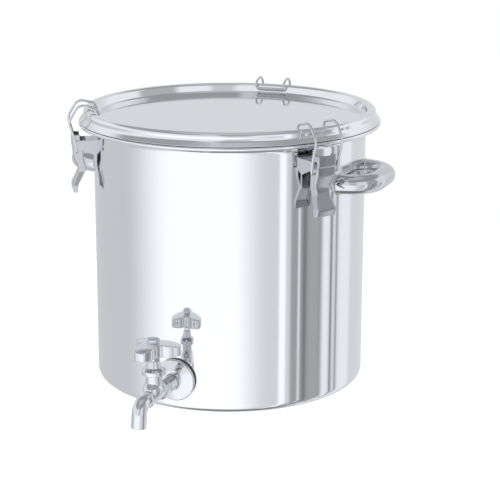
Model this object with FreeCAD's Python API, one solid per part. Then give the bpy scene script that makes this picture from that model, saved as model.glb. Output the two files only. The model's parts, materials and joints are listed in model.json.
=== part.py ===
import FreeCAD, Part
import math
import os

from FreeCAD import Vector

# A lidded stainless steel fermenting tank with three toggle clips, two pipe handles and a tap.
# Millimetres. Origin at the centre of the base, +Z up, the tap points along -Y.
# An azimuth is counted from the tap's side (-Y) towards +X. "Off" is a distance off the tank's wall.

# Tank
TANK_INNER_R = 180.0
TANK_WALL = 1.2
TANK_R = TANK_INNER_R + TANK_WALL
BASE_BEND = 10.0
FLARE_BEND = 9.0
FLANGE_BOTTOM = 346.2
RIM_JOINT_Z = 335.0
BEAD_CENTRE_R = 198.3
BEAD_R = 2.5

# Lid: its outline from the middle of the pan to the skirt, as the sheet's middle line
LID_SHEET = 1.0
LID_OUTLINE = [(0, 356.3), (179.3, 356.3), (183.2, 367.8), (193.7, 367.8), (194.0, 358.5), (199.7, 351.9)]
LID_BENDS = [0, 2.5, 4.0, 5.3, 8.0, 0]
GASKET_SHEET = 2.0
GASKET_OUTLINE = [(184.2, 361.5), (184.2, 348.75), (192.2, 348.75), (192.2, 361.5)]
GASKET_BENDS = [0, 2.0, 2.0, 0]

# Pipe handles
HANDLE_AZIMUTHS = {"handle_right": 90, "handle_left": 270}
PIPE_R = 12.7
PIPE_WALL = 1.5
HANDLE_Z = 287.0
HANDLE_HALF_SPAN = 52.0
HANDLE_OFF = 31.0
HANDLE_BEND = 38.0

# Toggle clips, drawn at azimuth 90 with X as the distance from the tank's axis, then turned into place
CLIP_AZIMUTHS = (57.4, 183.4, 300)
PIVOT = (TANK_R + 24.0, 324.3)
HOOK_EYE = (TANK_R + 24.0, 314.0)
CLIP_SHEET = 1.5
RUNNING_GAP = 0.05
PIVOT_R = 2.0
PIVOT_HEAD_R = 3.6
PIVOT_HEAD = 1.0
BRACKET_Z = (291.0, 328.8)
BRACKET_HALF_WIDTH = 17.1
EAR_NOSE_R = 4.5
EAR_OUTLINE = [(0, 309.0), (0, 328.8), (19.0, 328.8), (26.9, 326.5), (24.0, 319.8)]
WEB_OFF = 11.5
WIRE_R = 1.6
BAIL_HALF_WIDTH = 20.5
BAIL_END_HALF_WIDTH = 12.5
BAIL_OUTLINE = [(207.3, 331.0), (214.5, 355.0), (200.5, 377.5), (178.5, 372.5), (174.5, 363.5)]
BAIL_BENDS = [20.0, 14.0, 12.0, 6.0, 3.5]
BAIL_FOOT_BEND = 2.5

# Lever: the outer face from top to lip, then the flanges' inner edge back up, both as (off, z)
LEVER_FACE = [(29.6, 330.0), (29.6, 322.5), (28.4, 321.3), (28.4, 311.0), (20.9, 290.0), (31.0, 268.0), (28.0, 258.5)]
LEVER_FACE_BENDS = [1.0, 0.5, 0.5, 12.0, 14.0, 5.0, 0.8]
LEVER_EDGE = [(24.0, 260.5), (22.0, 270.0), (10.9, 290.0), (14.9, 304.0), (14.9, 322.0), (19.0, 330.0)]
LEVER_EDGE_BENDS = [1.0, 5.0, 10.0, 8.0, 3.0, 2.0]
LEVER_SIDE = [(15.0, 345.0), (15.0, 302.0), (11.0, 288.0), (15.5, 268.0), (15.5, 250.0)]
LEVER_SIDE_BENDS = [0, 14.0, 12.0, 10.0, 0]

# Tap
TAP_Z = 43.0
SPINDLE_OFF = 65.0
TAIL_R = 10.45
TAIL_END_OFF = -15.2
TAIL_HOLE_R = 10.8
INLET_R = 6.0
FLANGE_R = 18.0
FLANGE_OFF = (2.2, 4.7)
NECK_R = 10.0
GLOBE = (58.0, 50.0, 14.5)
FRONT_BELLY = (70.0, 50.0, 13.5)
BARREL_R = 10.6
BARREL_FOOT_Z = 46.0
BODY_TOP_Z = 70.5
SEAT_Z = 54.0
SEAT_HOLE_R = 4.5
CHAMBER_R = 7.6
CAP_THREAD_R = 9.0
CAP_THREAD_FOOT_Z = 64.5
SPOUT_ROUTE = [(70.0, 45.5), (106.5, 43.0), (110.5, 15.5)]
SPOUT_BEND = 14.0
SPOUT_R = 9.7
SPOUT_BORE_R = 8.1
SPOUT_COLLAR_R = 11.0
SPOUT_COLLAR_RUN = (15.0, 18.5)
BORE_START_RUN = 10.0
PASSAGE_R = 3.6
PASSAGE_ROUTE = [(71.5, 59.5), (82.0, 50.0)]
PLATE_OUTLINE = [(27.4, 2.8), (27.0, 5.2), (13.5, 9.8), (10.9, 9.8), (10.9, 13.5)]
PLATE_BENDS = [0, 2.0, 6.0, 0.8, 0]
PLATE_SHEET = 1.0
OUTER_GASKET_R = 27.5
INNER_WASHER_R = 15.0
NUT_FLATS = 27.0
SPINDLE_R = 4.5
STEM_R = 2.5
LIFT_PIN_R = 1.5
GLAND_R = 6.0
GLAND_NUT_FLATS = 14.0
KNOB_TOP_Z = 113.0
KNOB_FOOT_Z = 97.0
KNOB_HUB_Z = 98.0
KNOB_DOME_R = 130.0
KNOB_SHEET = 1.8
KNOB_FIRST_LOBE = -7.5
LOBE_TIP_R = 35.5
LOBE_TIP_HALF_ANGLE = 13.0
LOBE_TIP_BEND = 6.0
WAIST_R = 14.5
WAIST_BEND = 14.0
KNOB_HUB_R = 7.0
KNOB_SEAT_R = 3.5
INDEX_R = 8.2
INDEX_TOP_Z = 117.2
INDEX_DISC_R = 6.9

TINY = 1e-6
FUSE_SLACK = 5.0
UP = Vector(0, 0, 1)


def rounded_edges(points, bends, closed=False):
    """Straight runs through the points, with a tangent arc of the given radius at each one."""
    arrive, leave, middle = [], [], []
    for i, corner in enumerate(points):
        loose_end = not closed and i in (0, len(points) - 1)
        if loose_end or bends[i] == 0:
            arrive.append(corner)
            leave.append(corner)
            middle.append(None)
            continue
        back = (points[i - 1] - corner).normalize()
        onward = (points[(i + 1) % len(points)] - corner).normalize()
        half = back.getAngle(onward) / 2
        reach = bends[i] / math.tan(half)
        arrive.append(corner + back * reach)
        leave.append(corner + onward * reach)
        middle.append(corner + (back + onward).normalize() * (bends[i] / math.sin(half) - bends[i]))
    edges = []
    for i in range(len(points)):
        if middle[i]:
            edges.append(Part.Arc(arrive[i], middle[i], leave[i]).toShape())
        following = (i + 1) % len(points)
        if (following or closed) and leave[i].distanceToPoint(arrive[following]) > TINY:
            edges.append(Part.makeLine(leave[i], arrive[following]))
    return edges


def shifted(points, bends, shift):
    """A flat path moved to the left of its travel, its corners mitred and its arcs kept concentric."""
    runs = []
    for (x0, z0), (x1, z1) in zip(points, points[1:]):
        length = math.hypot(x1 - x0, z1 - z0)
        runs.append(((x1 - x0) / length, (z1 - z0) / length))
    moved, moved_bends = [], []
    for i, (x, z) in enumerate(points):
        ax, az = runs[max(i - 1, 0)]
        bx, bz = runs[min(i, len(runs) - 1)]
        mitre = shift / (1 + ax * bx + az * bz)
        moved.append((x - (az + bz) * mitre, z + (ax + bx) * mitre))
        turn = ax * bz - az * bx
        moved_bends.append(bends[i] and max(bends[i] - shift * math.copysign(1, turn), 0))
    return moved, moved_bends


def upright(points):
    """Flat (x, z) points in the XZ plane."""
    return [Vector(x, 0, z) for x, z in points]


def flat_face(points, bends):
    """A face in the XZ plane inside a closed outline with rounded corners."""
    return Part.Face(Part.Wire(rounded_edges(upright(points), bends, closed=True)))


def sheet_face(points, bends, sheet):
    """The section of a bent sheet whose middle line runs through the points."""
    left, left_bends = shifted(points, bends, sheet / 2)
    right, right_bends = shifted(points, bends, -sheet / 2)
    return flat_face(left + right[::-1], left_bends + right_bends[::-1])


def spun(face):
    """A section turned once round the Z axis."""
    return face.revolve(Vector(), UP, 360)


def turned(points, bends=None):
    """A piece turned on a lathe, from (radius, z) corners."""
    return spun(flat_face(points, bends or [0] * len(points)))


def ring(inner_r, outer_r, z0, z1):
    return turned([(inner_r, z0), (outer_r, z0), (outer_r, z1), (inner_r, z1)])


def rod(radius, start, end):
    """A round bar from one point to another."""
    return Part.makeCylinder(radius, start.distanceToPoint(end), start, end - start)


def ball(radius, centre):
    return Part.makeSphere(radius, centre)


def tube_along(points, bends, radius):
    """A round bar bent along straight runs and tangent arcs."""
    section = Part.Wire(Part.makeCircle(radius, points[0], points[1] - points[0]))
    return Part.Wire(rounded_edges(points, bends)).makePipeShell([section], True, False)


def hexagon(flats, z0, z1):
    corner_r = flats / math.sqrt(3)
    corners = [Vector(corner_r * math.cos(math.radians(60 * i)), corner_r * math.sin(math.radians(60 * i)), z0)
               for i in range(6)]
    return Part.Face(Part.makePolygon(corners + corners[:1])).extrude(Vector(0, 0, z1 - z0))


def joined(pieces):
    """The pieces fused one after another; stops if a fuse loses one of them."""
    whole = pieces[0]
    for piece in pieces[1:]:
        before = whole.Volume
        shared = whole.common(piece).Volume
        whole = whole.fuse(piece)
        if abs(before + piece.Volume - shared - whole.Volume) > FUSE_SLACK:
            raise RuntimeError("a fuse lost a piece")
    whole = whole.removeSplitter()
    return whole.Solids[0] if len(whole.Solids) == 1 else whole


def facing(shape, azimuth):
    """A shape drawn along +X, turned about Z to its azimuth."""
    return shape.rotated(Vector(), UP, azimuth - 90)


def off_wall(shape):
    """A shape drawn up the Z axis, laid along the tap's inlet with its z as the distance off the wall."""
    return shape.rotated(Vector(), Vector(1, 0, 0), 90).translated(Vector(0, -TANK_R, TAP_Z))


def on_spindle(shape):
    """A shape drawn about the Z axis, moved to the tap's spindle."""
    return shape.translated(Vector(0, -TANK_R - SPINDLE_OFF, 0))


def tap_point(off, z):
    return Vector(0, -TANK_R - off, z)


def tank_cylinder(radius):
    return Part.makeCylinder(radius, 500.0, Vector(0, 0, -50))


def tank_pieces():
    """One sheet: flat base and straight wall, and above a level cut its flare, flange and open curl."""
    wall_r = TANK_INNER_R + TANK_WALL / 2
    flange_z = FLANGE_BOTTOM + TANK_WALL / 2
    curl = BEAD_R - TANK_WALL / 2
    outline = [
        (0, TANK_WALL / 2), (wall_r, TANK_WALL / 2), (wall_r, flange_z),
        (BEAD_CENTRE_R + curl, flange_z), (BEAD_CENTRE_R + curl, flange_z + 2 * curl),
        (BEAD_CENTRE_R - curl, flange_z + 2 * curl), (BEAD_CENTRE_R - curl, flange_z + curl)]
    bends = [0, BASE_BEND - TANK_WALL / 2, FLARE_BEND + TANK_WALL / 2, curl, curl, curl, 0]
    shell = spun(sheet_face(outline, bends, TANK_WALL))
    shell = shell.cut(off_wall(Part.makeCylinder(TAIL_HOLE_R, 20.0, Vector(0, 0, -10))))
    above = Part.makeCylinder(2 * TANK_R, 100.0, Vector(0, 0, RIM_JOINT_Z))
    return {"tank_shell": shell.cut(above), "tank_rim": shell.common(above)}


def pipe_handle(azimuth):
    """A hollow pipe bent to a shallow U, its ends coped to the tank's wall."""
    grip_x = TANK_R + HANDLE_OFF
    route = [Vector(x, y, HANDLE_Z) for x, y in (
        (TANK_R - 40, -HANDLE_HALF_SPAN), (grip_x, -HANDLE_HALF_SPAN),
        (grip_x, HANDLE_HALF_SPAN), (TANK_R - 40, HANDLE_HALF_SPAN))]
    bends = [0, HANDLE_BEND, HANDLE_BEND, 0]
    pipe = tube_along(route, bends, PIPE_R).cut(tube_along(route, bends, PIPE_R - PIPE_WALL))
    return facing(pipe.cut(tank_cylinder(TANK_R)), azimuth)


def across(face, half_width):
    """A section in the XZ plane, given an even width on both sides of it."""
    return face.extrude(Vector(0, 2 * half_width, 0)).translated(Vector(0, -half_width, 0))


def out_from_wall(points):
    return [(TANK_R + off, z) for off, z in points]


def clip_bracket():
    """A plate welded to the wall, with two ears for the pivot pin and a web between them."""
    low, high = BRACKET_Z
    width = 2 * BRACKET_HALF_WIDTH
    plate = Part.makeBox(40, width, high - low, Vector(TANK_R - 20, -BRACKET_HALF_WIDTH, low))
    plate = plate.common(tank_cylinder(TANK_R + CLIP_SHEET)).cut(tank_cylinder(TANK_R))
    ear = flat_face(out_from_wall(EAR_OUTLINE), [0, 2.0, 3.0, 0, 0]).extrude(Vector(0, CLIP_SHEET, 0))
    nose_centre = Vector(PIVOT[0], 0, PIVOT[1])
    ear = joined([ear, rod(EAR_NOSE_R, nose_centre, nose_centre + Vector(0, CLIP_SHEET, 0))])
    ears = [ear.translated(Vector(0, y, 0)) for y in (-BRACKET_HALF_WIDTH, BRACKET_HALF_WIDTH - CLIP_SHEET)]
    web = Part.makeBox(WEB_OFF, width, CLIP_SHEET, Vector(TANK_R, -BRACKET_HALF_WIDTH, high - CLIP_SHEET))
    return joined([plate, web] + ears).cut(cross_pin(PIVOT, PIVOT_R + 0.02, BRACKET_HALF_WIDTH + 1))


def cross_pin(centre, radius, half_width):
    x, z = centre
    return rod(radius, Vector(x, -half_width, z), Vector(x, half_width, z))


def clip_pivot_pin():
    """A riveted pin with a flat head at each end."""
    shank = cross_pin(PIVOT, PIVOT_R, BRACKET_HALF_WIDTH + PIVOT_HEAD)
    heads = cross_pin(PIVOT, PIVOT_HEAD_R, BRACKET_HALF_WIDTH + PIVOT_HEAD).cut(
        cross_pin(PIVOT, PIVOT_HEAD_R + 1, BRACKET_HALF_WIDTH))
    return joined([shank] + heads.Solids)


def side_prism(side, bends):
    """The space between two mirrored (half width, z) lines, running out from the tank's axis."""
    outline = side + [(-y, z) for y, z in side[::-1]]
    wire = Part.Wire(rounded_edges([Vector(TANK_R, y, z) for y, z in outline], bends + bends[::-1], closed=True))
    return Part.Face(wire).extrude(Vector(50, 0, 0))


def clip_lever():
    """A pressed channel with a waist: a curved face and two flanges that carry the pivot and the bail."""
    body = across(flat_face(out_from_wall(LEVER_FACE + LEVER_EDGE), LEVER_FACE_BENDS + LEVER_EDGE_BENDS), 20)
    body = body.common(side_prism(LEVER_SIDE, LEVER_SIDE_BENDS))
    run = [(LEVER_FACE[0][0], LEVER_SIDE[0][1])] + LEVER_FACE[1:-1] + [(24.8, 248.5)]
    inside, inside_bends = shifted(run, [0] + LEVER_FACE_BENDS[1:-1] + [0], -CLIP_SHEET)
    inside += [(0, inside[-1][1]), (0, inside[0][1])]
    cavity = across(flat_face(out_from_wall(inside), inside_bends + [0, 0]), 20)
    narrower, narrower_bends = shifted(LEVER_SIDE, LEVER_SIDE_BENDS, -CLIP_SHEET)
    cavity = cavity.common(side_prism(narrower, narrower_bends))
    holes = [cross_pin(PIVOT, PIVOT_R + RUNNING_GAP, 20), cross_pin(HOOK_EYE, WIRE_R + RUNNING_GAP, 20)]
    return body.cut([cavity] + holes)


def clip_bail():
    """One bent wire: feet in the lever's eyes, two arms over the rim and a bar across inside it."""
    half = [(BAIL_END_HALF_WIDTH, *HOOK_EYE), (BAIL_HALF_WIDTH, *HOOK_EYE)]
    half += [(BAIL_HALF_WIDTH, x, z) for x, z in BAIL_OUTLINE]
    bends = [0, BAIL_FOOT_BEND] + BAIL_BENDS
    route = [Vector(x, -y, z) for y, x, z in half] + [Vector(x, y, z) for y, x, z in half[::-1]]
    return tube_along(route, bends + bends[::-1], WIRE_R)


def tap_body():
    """The cast body: tail, flange, neck, globe, valve barrel and bent spout, with its water way."""
    route = [tap_point(off, z) for off, z in SPOUT_ROUTE]
    bends = [0, SPOUT_BEND, 0]
    run = (route[1] - route[0]).normalize()
    fall = (route[2] - route[1]).normalize()
    foot = tap_point(SPINDLE_OFF, BARREL_FOOT_Z)
    solid = joined([
        off_wall(rod(TAIL_R, UP * TAIL_END_OFF, UP * FLANGE_OFF[1])),
        off_wall(rod(FLANGE_R, UP * FLANGE_OFF[0], UP * FLANGE_OFF[1])),
        off_wall(rod(NECK_R, UP * FLANGE_OFF[0], UP * SPINDLE_OFF)),
        ball(GLOBE[2], tap_point(GLOBE[0], GLOBE[1])),
        ball(FRONT_BELLY[2], tap_point(FRONT_BELLY[0], FRONT_BELLY[1])),
        rod(BARREL_R, foot, tap_point(SPINDLE_OFF, BODY_TOP_Z)),
        ball(BARREL_R, foot),
        ball(SPOUT_R, route[0]),
        tube_along(route, bends, SPOUT_R),
        rod(SPOUT_COLLAR_R, route[0] + run * SPOUT_COLLAR_RUN[0], route[0] + run * SPOUT_COLLAR_RUN[1])])
    bore_start = route[0] + run * BORE_START_RUN
    water_way = [
        off_wall(rod(INLET_R, UP * (TAIL_END_OFF - 1), UP * SPINDLE_OFF)),
        ball(INLET_R, tap_point(SPINDLE_OFF, TAP_Z)),
        rod(SEAT_HOLE_R, tap_point(SPINDLE_OFF, TAP_Z), tap_point(SPINDLE_OFF, SEAT_Z + 1)),
        rod(CHAMBER_R, tap_point(SPINDLE_OFF, SEAT_Z), tap_point(SPINDLE_OFF, BODY_TOP_Z + 1)),
        rod(CAP_THREAD_R + 0.1, tap_point(SPINDLE_OFF, CAP_THREAD_FOOT_Z - 0.5), tap_point(SPINDLE_OFF, BODY_TOP_Z + 1)),
        rod(PASSAGE_R, tap_point(*PASSAGE_ROUTE[0]), tap_point(*PASSAGE_ROUTE[1])),
        tube_along([bore_start, route[1], route[2] + fall * 2], bends, SPOUT_BORE_R)]
    return solid.cut(water_way)


def tap_wall_pieces():
    """The escutcheon, gaskets, washer and back nut that clamp the tap to the wall."""
    gasket = ring(TAIL_HOLE_R, OUTER_GASKET_R, -8, FLANGE_OFF[0] - 0.02)
    inner_gasket = ring(TAIL_HOLE_R, INNER_WASHER_R, -TANK_WALL - 3.0, 3)
    nut = hexagon(NUT_FLATS, -11.7, -5.8).cut(rod(TAIL_R + RUNNING_GAP, UP * -20, UP * 0))
    return {
        "tap_escutcheon": off_wall(spun(sheet_face(PLATE_OUTLINE, PLATE_BENDS, PLATE_SHEET))),
        "tap_outer_gasket": off_wall(gasket).cut(tank_cylinder(TANK_R)),
        "tap_inner_gasket": off_wall(inner_gasket).common(tank_cylinder(TANK_INNER_R)),
        "tap_inner_washer": off_wall(ring(TAIL_HOLE_R, INNER_WASHER_R, -5.7, -TANK_WALL - 3.0)),
        "tap_lock_nut": off_wall(nut),
    }


def tap_valve_pieces():
    """The bonnet and its packing, and the spindle, jumper and washer that it guides."""
    bore = SPINDLE_R + RUNNING_GAP
    bonnet = turned(
        [(7.0, CAP_THREAD_FOOT_Z), (CAP_THREAD_R, CAP_THREAD_FOOT_Z), (CAP_THREAD_R, 71.5), (15.4, 71.5),
         (15.4, 77.0), (12.5, 79.5), (10.2, 80.5), (7.5, 89.5), (GLAND_R + 0.05, 89.5), (GLAND_R + 0.05, 81.5),
         (bore, 81.5), (bore, 73.5), (7.0, 73.5)],
        [0, 0, 0, 0.8, 1.5, 1.0, 1.0, 0.5, 0, 0, 0, 0, 0])
    gland_nut = joined([
        rod(GLAND_R, UP * 86.7, UP * 90.5), hexagon(GLAND_NUT_FLATS, 89.9, 94.0)]).cut(rod(bore, UP * 80, UP * 96))
    spindle = turned(
        [(STEM_R + RUNNING_GAP, 59.0), (SPINDLE_R, 59.0), (SPINDLE_R, KNOB_HUB_Z), (KNOB_SEAT_R, KNOB_HUB_Z),
         (KNOB_SEAT_R, 109.0), (LIFT_PIN_R, 109.0), (LIFT_PIN_R, 100.0), (0, 100.0), (0, 66.6),
         (STEM_R + RUNNING_GAP, 66.6)])
    jumper = turned(
        [(0, 54.8), (LIFT_PIN_R, 54.8), (LIFT_PIN_R, 56.3), (6.5, 56.3), (6.5, 58.5), (STEM_R, 58.5),
         (STEM_R, 66.0), (0, 66.0)])
    return {name: on_spindle(shape) for name, shape in {
        "tap_bonnet": bonnet,
        "tap_bonnet_gasket": ring(CAP_THREAD_R + 0.1, BARREL_R, BODY_TOP_Z, 71.5),
        "tap_gland_packing": ring(bore, GLAND_R, 81.5, 85.5),
        "tap_packing_washer": ring(bore, GLAND_R, 85.5, 86.7),
        "tap_gland_nut": gland_nut,
        "tap_spindle": spindle,
        "tap_jumper": jumper,
        "tap_seat_washer": ring(LIFT_PIN_R + 0.02, 6.2, SEAT_Z + 0.3, 56.3),
    }.items()}


def lobed_prism(inset, z0, z1):
    """Three squared lobes round the spindle, joined by hollow waists, as an upright prism."""
    points, bends = [], []
    for lobe in range(3):
        middle = KNOB_FIRST_LOBE - 90 + 120 * lobe
        for angle, radius, bend in (
                (-LOBE_TIP_HALF_ANGLE, LOBE_TIP_R - 1.06 * inset, LOBE_TIP_BEND - inset),
                (LOBE_TIP_HALF_ANGLE, LOBE_TIP_R - 1.06 * inset, LOBE_TIP_BEND - inset),
                (60, WAIST_R - inset, WAIST_BEND + inset)):
            turn = math.radians(middle + angle)
            points.append(Vector(radius * math.cos(turn), radius * math.sin(turn), z0))
            bends.append(bend)
    return Part.Face(Part.Wire(rounded_edges(points, bends, closed=True))).extrude(Vector(0, 0, z1 - z0))


def tap_knob_pieces():
    """The lobed handle, its screw, and the index cap with its coloured disc."""
    dome = ball(KNOB_DOME_R, UP * (KNOB_TOP_Z - KNOB_DOME_R))
    inner_dome = ball(KNOB_DOME_R - KNOB_SHEET, UP * (KNOB_TOP_Z - KNOB_DOME_R))
    shell = lobed_prism(0, KNOB_FOOT_Z, KNOB_TOP_Z + 1).common(dome)
    hollow = lobed_prism(KNOB_SHEET, KNOB_FOOT_Z - 1, KNOB_TOP_Z + 1).common(inner_dome)
    hub = rod(KNOB_HUB_R, UP * KNOB_HUB_Z, UP * (KNOB_TOP_Z - 1))
    handle = joined([shell.cut(hollow), hub]).cut([
        rod(KNOB_SEAT_R + 0.02, UP * (KNOB_HUB_Z - 1), UP * 109.1), rod(4.4, UP * 109.0, UP * (KNOB_TOP_Z + 1))])
    screw = turned(
        [(0, 101.0), (LIFT_PIN_R - 0.05, 101.0), (LIFT_PIN_R - 0.05, 109.1), (3.8, 109.1), (3.8, 111.0), (0, 111.6)],
        [0, 0, 0, 0, 0.6, 0])
    cap = turned(
        [(0, 112.2), (INDEX_R, 112.2), (INDEX_R, INDEX_TOP_Z), (INDEX_DISC_R, INDEX_TOP_Z),
         (INDEX_DISC_R, INDEX_TOP_Z - 1.2), (0, INDEX_TOP_Z - 1.2)],
        [0, 0, 0.6, 0, 0, 0])
    skirt = ring(INDEX_R - 1.5, INDEX_R, KNOB_TOP_Z - 2, 112.7)
    return {name: on_spindle(shape) for name, shape in {
        "tap_handle": handle,
        "tap_handle_screw": screw,
        "tap_index_cap": joined([cap, skirt]).cut(ball(KNOB_DOME_R + 0.05, UP * (KNOB_TOP_Z - KNOB_DOME_R))),
        "tap_index_disc": turned(
            [(0, INDEX_TOP_Z - 1.2), (INDEX_DISC_R - 0.05, INDEX_TOP_Z - 1.2),
             (INDEX_DISC_R - 0.05, INDEX_TOP_Z - 0.2), (0, INDEX_TOP_Z + 0.1)]),
    }.items()}


def all_pieces():
    pieces = {
        "lid_pan": spun(sheet_face(LID_OUTLINE, LID_BENDS, LID_SHEET)),
        "lid_gasket": spun(sheet_face(GASKET_OUTLINE, GASKET_BENDS, GASKET_SHEET)),
        "tap_body": tap_body(),
    }
    for name, azimuth in HANDLE_AZIMUTHS.items():
        pieces[name] = pipe_handle(azimuth)
    clip = {"bracket": clip_bracket(), "pivot_pin": clip_pivot_pin(), "lever": clip_lever(), "bail": clip_bail()}
    for number, azimuth in enumerate(CLIP_AZIMUTHS, start=1):
        for part, shape in clip.items():
            pieces[f"clip_{part}_{number}"] = facing(shape, azimuth)
    pieces.update(tank_pieces())
    pieces.update(tap_wall_pieces())
    pieces.update(tap_valve_pieces())
    pieces.update(tap_knob_pieces())
    return pieces


os.makedirs("parts", exist_ok=True)
for node, shape in all_pieces().items():
    solids = shape.Solids
    solid = solids[0] if len(solids) == 1 else shape
    print(f"{node}: {len(solids)} solid, valid {shape.isValid()}, {solid.Volume / 1000:.2f} cm3")
    solid.exportStep(f"parts/{node}.step")
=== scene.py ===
import json
import math

import bmesh
import bpy
import numpy as np
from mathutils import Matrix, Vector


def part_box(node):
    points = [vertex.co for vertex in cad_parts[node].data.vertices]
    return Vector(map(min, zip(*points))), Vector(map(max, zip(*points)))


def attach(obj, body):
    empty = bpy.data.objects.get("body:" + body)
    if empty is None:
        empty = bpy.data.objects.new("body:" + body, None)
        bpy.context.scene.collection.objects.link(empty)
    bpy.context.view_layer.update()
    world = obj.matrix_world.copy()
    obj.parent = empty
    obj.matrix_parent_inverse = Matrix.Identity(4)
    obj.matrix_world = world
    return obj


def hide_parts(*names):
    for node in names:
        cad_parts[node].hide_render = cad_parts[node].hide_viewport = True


# A polished stainless fermenting tank with a clipped lid, pipe handles and a bib tap.
# Shapes are drawn in millimetres about the tank's axis and stored in metres.
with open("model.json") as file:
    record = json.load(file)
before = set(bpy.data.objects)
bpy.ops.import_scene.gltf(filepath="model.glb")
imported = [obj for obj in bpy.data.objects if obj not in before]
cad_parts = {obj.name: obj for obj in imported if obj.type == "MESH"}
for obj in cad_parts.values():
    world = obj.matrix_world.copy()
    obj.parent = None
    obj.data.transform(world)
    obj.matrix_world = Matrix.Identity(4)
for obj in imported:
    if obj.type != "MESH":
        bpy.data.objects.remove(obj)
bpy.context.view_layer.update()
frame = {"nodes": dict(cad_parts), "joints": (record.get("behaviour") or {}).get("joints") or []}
MM = 0.001
JOINTS = {joint["name"]: joint for joint in frame["joints"]}

# Camera: level distance from the tank's axis, height and downward tilt
VIEW_AZIMUTH = math.radians(22.5)
VIEW_DISTANCE = 2.105
VIEW_HEIGHT = 0.7408
VIEW_TILT = math.radians(15.0)
VIEW_LENS = 115.2
VIEW_SHIFT = (0.0406, -0.0112)

# Floor rings, and the radii in metres between which the floor fades away
FLOOR_RINGS = [0.0, 300.0, 700.0, 1500.0]
FLOOR_FADE = (0.32, 1.1)
FLOOR_GLOW = 0.60

# Tank and lid, as in the frame's sheet outlines
WALL_R = 181.2
WALL = 1.2
FLANGE_Z = 346.8
BEAD_R = 1.9
BEAD_CENTRE_R = 198.3
TANK_BENDS = [0, 9.4, 9.6, BEAD_R, BEAD_R, BEAD_R, 0]
BASE_FLAT_R = 171.0
LID_OUTLINE = [(0, 356.3), (179.3, 356.3), (183.2, 367.8), (193.7, 367.8), (194.0, 358.5), (199.7, 351.9)]
LID_BENDS = [0, 2.5, 4.0, 5.3, 8.0, 0]
LID_SHEET = 1.0
SEAL_OUTLINE = [(184.2, 361.5), (184.2, 348.75), (192.2, 348.75), (192.2, 361.5)]
SEAL_BENDS = [0, 2.0, 2.0, 0]
SEAL_SHEET = 2.0

# Pipe handles
PIPE_R = 12.7
PIPE_HALF_SPAN = 52.0
PIPE_OFF = 31.0
PIPE_BEND = 38.0
PIPE_START = 140.0
WELD_SIZE = 1.1
WELD_GAP = 0.4

# Toggle clips, drawn on +X
WIRE_R = 1.6
BAIL_EYE = (205.2, 314.0)
BAIL_HALF_WIDTHS = (12.5, 20.5)
BAIL_OUTLINE = [(207.3, 331.0), (214.5, 355.0), (200.5, 377.5), (178.5, 372.5), (174.5, 363.5)]
BAIL_BENDS = [0, 2.5, 20.0, 14.0, 12.0, 6.0, 3.5]
LEVER_FACE = [
    (29.6, 330.0), (29.6, 322.5), (28.4, 321.3), (28.4, 311.0), (20.9, 290.0), (31.0, 268.0), (28.0, 258.9)]
LEVER_FACE_BENDS = [0, 0.5, 0.5, 12.0, 14.0, 5.0, 0]
LEVER_EDGE = [(19.0, 330.0), (14.9, 322.0), (14.9, 304.0), (10.9, 290.0), (22.0, 270.0), (24.0, 258.9)]
LEVER_EDGE_BENDS = [0, 3.0, 8.0, 10.0, 5.0, 0]
LEVER_SIDE = [(15.0, 330.0), (15.0, 302.0), (11.0, 288.0), (15.5, 268.0), (15.5, 258.9)]
LEVER_SIDE_BENDS = [0, 14.0, 12.0, 10.0, 0]
LEVER_SHEET = 1.5
LEVER_CORNER = 2.4
LEVER_CROWN = 0.5
LEVER_ENDS = (336.0, 258.9)
LEVER_STEP = (326.0, 325.2)

# Tap
TAP_Z = 43.0
SPINDLE_OFF = 65.0
SPOUT_ROUTE = [(70.0, 45.5), (106.5, 43.0), (110.5, 15.5)]
SPOUT_BEND = 14.0
SPOUT_R = 9.7
SPOUT_BORE_R = 8.1
SPOUT_COLLAR_AT = 15.0
SPOUT_COLLAR = [(0, 0), (11.0, 0), (11.0, 3.5), (0, 3.5)]
TAIL_OUTLINE = [(0, -15.2), (9.9, -15.2), (10.45, -14.6), (10.45, 2.2), (18, 2.2), (18, 4.7), (0, 4.7)]
NECK_OUTLINE = [(0, 4.0), (10.0, 4.0), (10.0, 38.0), (12.6, 50.0), (0, 60.0)]
BARREL_OUTLINE = [(0, 42.0), (13.2, 44.0), (13.4, 53.0), (10.6, 61.0), (10.6, 70.5), (0, 70.5)]
BELLY_OFF = 63.5
BELLY_Z = 50.0
BELLY_RADII = (14.2, 19.8, 14.2)
PLATE_OUTLINE = [(27.4, 2.8), (27.0, 5.2), (13.5, 9.8), (10.9, 9.8), (10.9, 13.5)]
PLATE_SHEET = 1.0
BONNET_OUTLINE = [
    (4.6, 71.5), (15.4, 71.5), (15.4, 77.0), (12.5, 79.5), (10.2, 80.5), (7.5, 89.5), (4.6, 89.5)]
KNOB_TOP_Z = 113.0
KNOB_FOOT_Z = 97.0
KNOB_DOME_R = 128.0
KNOB_FIRST_LOBE = math.radians(-97.5)
LOBE_TIP_R = 35.4
LOBE_TIP_HALF_ANGLE = math.radians(13.0)
LOBE_TIP_BEND = 6.0
WAIST_R = 14.5
WAIST_BEND = 14.0
KNOB_EDGE = 2.2
KNOB_SHEET = 2.4
KNOB_CROWN_DROP = 2.6
HOLLOW_DEPTH = 0.7
HOLLOW_R = 13.0
HOLLOW_WIDTH = 5.0
HUB_OUTLINE = [(3.6, 98.0), (6.8, 98.0), (6.9, 111.5), (3.6, 111.5)]
CAP_OUTLINE = [
    (0, 112.2), (7.4, 112.2), (7.4, 113.1), (8.2, 113.8),
    (8.2, 117.2), (6.9, 117.2), (6.7, 116.2), (0, 116.2)]
DISC_OUTLINE = [(0, 116.1), (6.7, 116.1), (6.72, 116.75), (0, 117.25)]


# ---------------------------------------------------------------- shapes

def unit(vector):
    return vector / np.linalg.norm(vector)


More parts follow.
